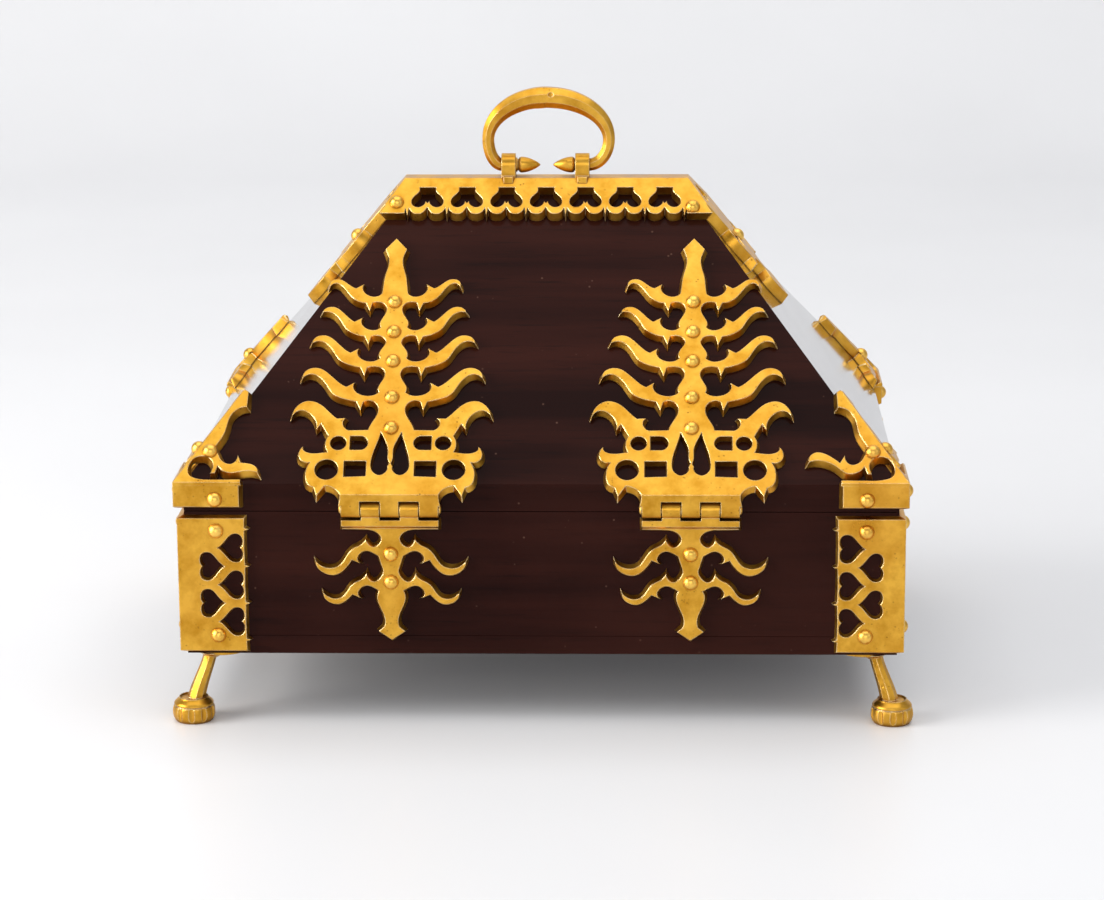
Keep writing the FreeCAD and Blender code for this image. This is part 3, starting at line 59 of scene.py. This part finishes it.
# ---- node helpers ----------------------------------------------------------------------
class Graph:
    """Short-hand for building a material's node tree."""

    def __init__(self, name):
        self.material = bpy.data.materials.new(name)
        self.material.use_nodes = True
        self.tree = self.material.node_tree
        self.shader = self.tree.nodes["Principled BSDF"]

    def put(self, socket, value):
        """Link a socket to another, or set it to a constant."""
        if isinstance(value, bpy.types.NodeSocket):
            self.tree.links.new(value, socket)
            return
        if isinstance(value, (tuple, list)) and len(value) == 3 and len(socket.default_value) == 4:
            value = (*value, 1.0)
        socket.default_value = value

    def node(self, kind, out=0, settings=None, **inputs):
        """A node with its inputs by name; returns one output socket."""
        made = self.tree.nodes.new("ShaderNode" + kind)
        for key, value in (settings or {}).items():
            setattr(made, key, value)
        for key, value in inputs.items():
            self.put(made.inputs[key.replace("_", " ")], value)
        return made.outputs[out]

    def coordinates(self, scale=(1, 1, 1)):
        """Coordinates fixed to the piece, in metres, scaled."""
        place = self.node("TexCoord", out="Object")
        return self.node("Mapping", Vector=place, Scale=scale)

    def noise(self, vector, scale, detail=3.0, roughness=0.5):
        return self.node("TexNoise", out="Fac", Vector=vector, Scale=scale, Detail=detail,
                         Roughness=roughness)

    def ramp(self, value, low, high, out_low=0.0, out_high=1.0):
        """Map low..high to out_low..out_high, clamped."""
        made = self.tree.nodes.new("ShaderNodeMapRange")
        for key, number in zip(("Value", "From Min", "From Max", "To Min", "To Max"),
                               (value, low, high, out_low, out_high)):
            self.put(made.inputs[key], number)
        return made.outputs[0]

    def calc(self, operation, a, b):
        made = self.tree.nodes.new("ShaderNodeMath")
        made.operation = operation
        self.put(made.inputs[0], a)
        self.put(made.inputs[1], b)
        return made.outputs[0]

    def times(self, a, b):
        return self.calc("MULTIPLY", a, b)

    def mix(self, share, a, b):
        """Colour a where share is 0, b where it is 1."""
        made = self.tree.nodes.new("ShaderNodeMix")
        made.data_type = "RGBA"
        self.put(made.inputs[0], share)
        self.put(made.inputs[6], a)
        self.put(made.inputs[7], b)
        return made.outputs[2]

    def bump(self, height, distance, strength=1.0, normal=None):
        made = self.tree.nodes.new("ShaderNodeBump")
        self.put(made.inputs["Height"], height)
        self.put(made.inputs["Distance"], distance)
        self.put(made.inputs["Strength"], strength)
        if normal is not None:
            self.put(made.inputs["Normal"], normal)
        return made.outputs[0]

    def over(self, share, layer):
        """Lay a second shader over the first by share."""
        both = self.tree.nodes.new("ShaderNodeMixShader")
        self.put(both.inputs[0], share)
        self.put(both.inputs[1], self.shader.outputs[0])
        self.put(both.inputs[2], layer)
        self.put(self.tree.nodes["Material Output"].inputs["Surface"], both.outputs[0])
        return self.material

    def finish(self, **inputs):
        for key, value in inputs.items():
            self.put(self.shader.inputs[key.replace("_", " ")], value)
        return self.material


# ---- materials -------------------------------------------------------------------------
def lacquered_wood(name, along):
    """Dark red-brown wood with grain along one axis, under a gloss lacquer with dust in it."""
    g = Graph(name)
    squeeze = [1.0, 1.0, 1.0]
    squeeze["XYZ".index(along)] = GRAIN_SQUEEZE
    grain_place = g.coordinates(scale=squeeze)
    plain = g.coordinates()
    broad = g.noise(grain_place, 55.0, 4.0, 0.55)
    fine = g.noise(grain_place, 620.0, 3.0, 0.6)
    cloud = g.noise(plain, 9.0, 2.0)
    tone = g.mix(g.ramp(broad, 0.35, 0.68), WOOD_DARK, WOOD_LIGHT)
    tone = g.mix(g.ramp(fine, 0.55, 0.75, 0.0, 0.6), tone, WOOD_PORE)
    tone = g.mix(g.ramp(cloud, 0.45, 0.75, 0.0, 0.5), tone, WOOD_CLOUD)

    specks = g.node("TexVoronoi", out="Distance", Vector=plain, Scale=260.0)
    rare = g.noise(plain, 130.0, 1.0)
    dust = g.times(g.ramp(specks, 0.05, 0.16, 1.0, 0.0), g.ramp(rare, 0.60, 0.66))
    tone = g.mix(g.times(dust, 0.5), tone, WOOD_DUST)

    smear = g.noise(g.coordinates(scale=(1.0, 1.0, 2.5)), 26.0, 3.0, 0.6)
    rough = g.calc("ADD", g.ramp(smear, 0.35, 0.7, 0.10, 0.22), g.times(dust, 0.3))
    peel = g.bump(g.noise(plain, 420.0, 2.0), 0.00002)
    peel = g.bump(fine, 0.00003, 0.5, peel)
    g.finish(Base_Color=tone, Roughness=rough, Normal=peel, IOR=WOOD_IOR)

    sheen = g.node("BsdfGlossy", Color=SHEEN_COLOUR, Roughness=SHEEN_ROUGHNESS, Normal=peel)
    facing = g.node("LayerWeight", out="Facing", Blend=0.5)
    return g.over(g.ramp(facing, 0.55, 0.90, 0.0, SHEEN_MOST), sheen)


def aged_brass(name, tones, gloss):
    """Cast brass: warm body colour, brown painted shade in the recesses, pale painted highlights on
    the edges and small pits.
    """
    bright, deep, patina_and_shade = tones
    g = Graph(name)
    plain = g.coordinates()
    blotch = g.noise(plain, 95.0, 4.0, 0.6)
    body = g.mix(g.ramp(blotch, 0.35, 0.65), deep, bright)
    tint = g.noise(plain, 24.0, 2.0)
    body = g.mix(g.ramp(tint, 0.45, 0.75, 0.0, 0.35), body, BRASS_TINT)

    # Painted shade: recesses found by ambient occlusion are darkened toward dark brown.
    recess = g.node("AmbientOcclusion", out="AO", settings={"samples": 6}, Distance=RECESS_REACH)
    recess_shade = g.times(g.ramp(recess, 0.35, 0.85, 1.0, 0.0), g.ramp(blotch, 0.3, 0.6, 0.5, 1.0))
    body = g.mix(g.times(recess_shade, 0.75), body, patina_and_shade)

    # An edge is where the softened normal turns away from the true one; edges get a pale painted
    # highlight.
    softened = g.node("Bevel", settings={"samples": 4}, Radius=EDGE_RADIUS)
    sharp = g.node("NewGeometry", out="Normal")
    turned = g.node("VectorMath", out="Value", settings={"operation": "DOT_PRODUCT"})
    for socket, normal in zip(turned.node.inputs, (softened, sharp)):
        g.put(socket, normal)
    edge_highlight = g.ramp(turned, 0.80, 0.985, 1.0, 0.0)
    edge_highlight = g.times(edge_highlight, g.ramp(g.noise(plain, 300.0, 2.0), 0.3, 0.6, 0.35, 0.9))
    body = g.mix(edge_highlight, body, BRASS_EDGE_HIGHLIGHT)

    pits = g.node("TexVoronoi", out="Distance", Vector=plain, Scale=620.0)
    scatter = g.ramp(g.noise(plain, 210.0, 2.0), 0.56, 0.66)
    pit = g.times(g.ramp(pits, 0.06, 0.30, 1.0, 0.0), scatter)
    body = g.mix(g.times(pit, 0.6), body, patina_and_shade)

    rough = g.calc("ADD", g.ramp(blotch, 0.3, 0.7, gloss, gloss + 0.14), g.times(recess_shade, 0.2))
    rough = g.calc("SUBTRACT", rough, g.times(edge_highlight, 0.12))
    relief = g.bump(g.noise(plain, 480.0, 3.0, 0.6), 0.00005, 0.6, softened)
    relief = g.bump(g.calc("SUBTRACT", 1.0, pit), 0.00012, 0.8, relief)
    return g.finish(Base_Color=body, Metallic=1.0, Roughness=rough, Normal=relief)


def dull_steel(name):
    """Plain steel with a little rust-brown mottling."""
    g = Graph(name)
    plain = g.coordinates()
    blotch = g.noise(plain, 180.0, 4.0, 0.6)
    body = g.mix(g.ramp(blotch, 0.45, 0.75), STEEL_CLEAN, STEEL_RUST)
    rough = g.ramp(blotch, 0.3, 0.7, 0.32, 0.55)
    relief = g.bump(g.noise(plain, 700.0, 2.0), 0.00004, 0.6)
    return g.finish(Base_Color=body, Metallic=0.9, Roughness=rough, Normal=relief)


def pale_floor(name):
    """Plain pale tabletop with a faint sheen."""
    g = Graph(name)
    cloud = g.noise(g.coordinates(), 2.2, 3.0)
    tone = g.mix(g.ramp(cloud, 0.3, 0.7), *FLOOR_TONES)
    return g.finish(Base_Color=tone, Roughness=0.42, Specular_IOR_Level=0.4)


WOOD = {axis: lacquered_wood("lacquered_wood_" + axis, axis) for axis in "XY"}
BRASS = aged_brass("cast_brass", BRASS_TONES, BRASS_GLOSS)
RIVET = aged_brass("turned_brass", RIVET_TONES, RIVET_GLOSS)
STEEL = dull_steel("dull_steel")


# ---- finishes on the CAD pieces ------------------------------------------------------------
ALONG_Y = ("left_board", "right_board", "lid_left", "lid_right")
RIVETS = ("base_rivets", "lid_rivets", "hinge_pin", "hasp_pin")
STEELS = ("lock_case", "lock_bolt", "foot_screws")
for name, piece in NODES.items():
    record_slot = next(s["material_slot"] for s in frame["record"]["subparts"] if s["node"] == name)
    if record_slot == "lacquered_wood":
        finish = WOOD["Y" if name.startswith(ALONG_Y) else "X"]
    elif name.startswith(RIVETS):
        finish = RIVET
    elif name.startswith(STEELS):
        finish = STEEL
    else:
        finish = BRASS
    piece.data.materials.clear()
    piece.data.materials.append(finish)


# ---- floor, light and camera ----------------------------------------------------------------
def sweep(name, half_width, front, bend, radius, top, steps=16):
    """Floor that curves up into a backdrop, as one smooth sheet."""
    profile = [(front, 0.0)]
    for step in range(steps + 1):
        a = math.radians(90.0 * step / steps)
        profile.append((bend + radius * math.sin(a), radius * (1 - math.cos(a))))
    profile.append((bend + radius, top))
    corners = [(x, y, z) for y, z in profile for x in (-half_width, half_width)]
    faces = [(2 * i, 2 * i + 1, 2 * i + 3, 2 * i + 2) for i in range(len(profile) - 1)]
    mesh = bpy.data.meshes.new(name)
    mesh.from_pydata(corners, [], faces)
    mesh.shade_smooth()
    made = bpy.data.objects.new(name, mesh)
    bpy.context.scene.collection.objects.link(made)
    return made


floor = sweep("floor", half_width=5.0, front=-4.0, bend=1.3, radius=0.6, top=3.0)
floor.data.materials.append(pale_floor("pale_floor"))


def softbox(name, place, aim, size, power, colour=(1.0, 1.0, 1.0)):
    """Rectangular area light aimed at a point."""
    light = bpy.data.lights.new(name, "AREA")
    light.shape = "RECTANGLE"
    light.size, light.size_y = size
    light.energy = power
    light.color = colour
    lamp = bpy.data.objects.new(name, light)
    lamp.location = place
    lamp.rotation_euler = (Vector(aim) - Vector(place)).to_track_quat("-Z", "Y").to_euler()
    bpy.context.scene.collection.objects.link(lamp)


softbox("key_left", (-1.8, -0.7, 0.8), (0, 0, 0.1), (1.3, 1.3), 40, (1.0, 0.98, 0.95))
softbox("fill_right", (1.7, -0.9, 0.9), (0, 0, 0.1), (0.9, 1.2), 3, (0.95, 0.97, 1.0))
softbox("front", (0.2, -2.6, 0.9), (0, 0, 0.1), (2.2, 0.8), 14)
softbox("top", (0.1, 0.1, 2.4), (0, 0.1, 0), (2.6, 2.8), 34)

world = bpy.data.worlds.new("studio")
world.use_nodes = True
sky = world.node_tree.nodes["Background"]
sky.inputs["Color"].default_value = (0.94, 0.96, 1.0, 1.0)
sky.inputs["Strength"].default_value = 0.46
bpy.context.scene.world = world
bpy.context.scene.view_settings.view_transform = "Standard"

lens = bpy.data.cameras.new("camera")
lens.sensor_width = SENSOR
lens.lens = LENS
lens.clip_start, lens.clip_end = 0.05, 30.0
camera = bpy.data.objects.new("camera", lens)
yaw, pitch, roll = CAMERA_YAW, CAMERA_PITCH, CAMERA_ROLL
ahead = Vector((math.sin(yaw) * math.cos(pitch), math.cos(yaw) * math.cos(pitch), -math.sin(pitch)))
right = Vector((math.cos(yaw), -math.sin(yaw), 0))
up = right.cross(ahead)
right, up = (math.cos(roll) * right + math.sin(roll) * up,
             math.cos(roll) * up - math.sin(roll) * right)
turn = Matrix((right, up, -ahead)).transposed().to_4x4()
camera.matrix_world = Matrix.Translation(CAMERA_PLACE) @ turn
bpy.context.scene.collection.objects.link(camera)
bpy.context.scene.camera = camera
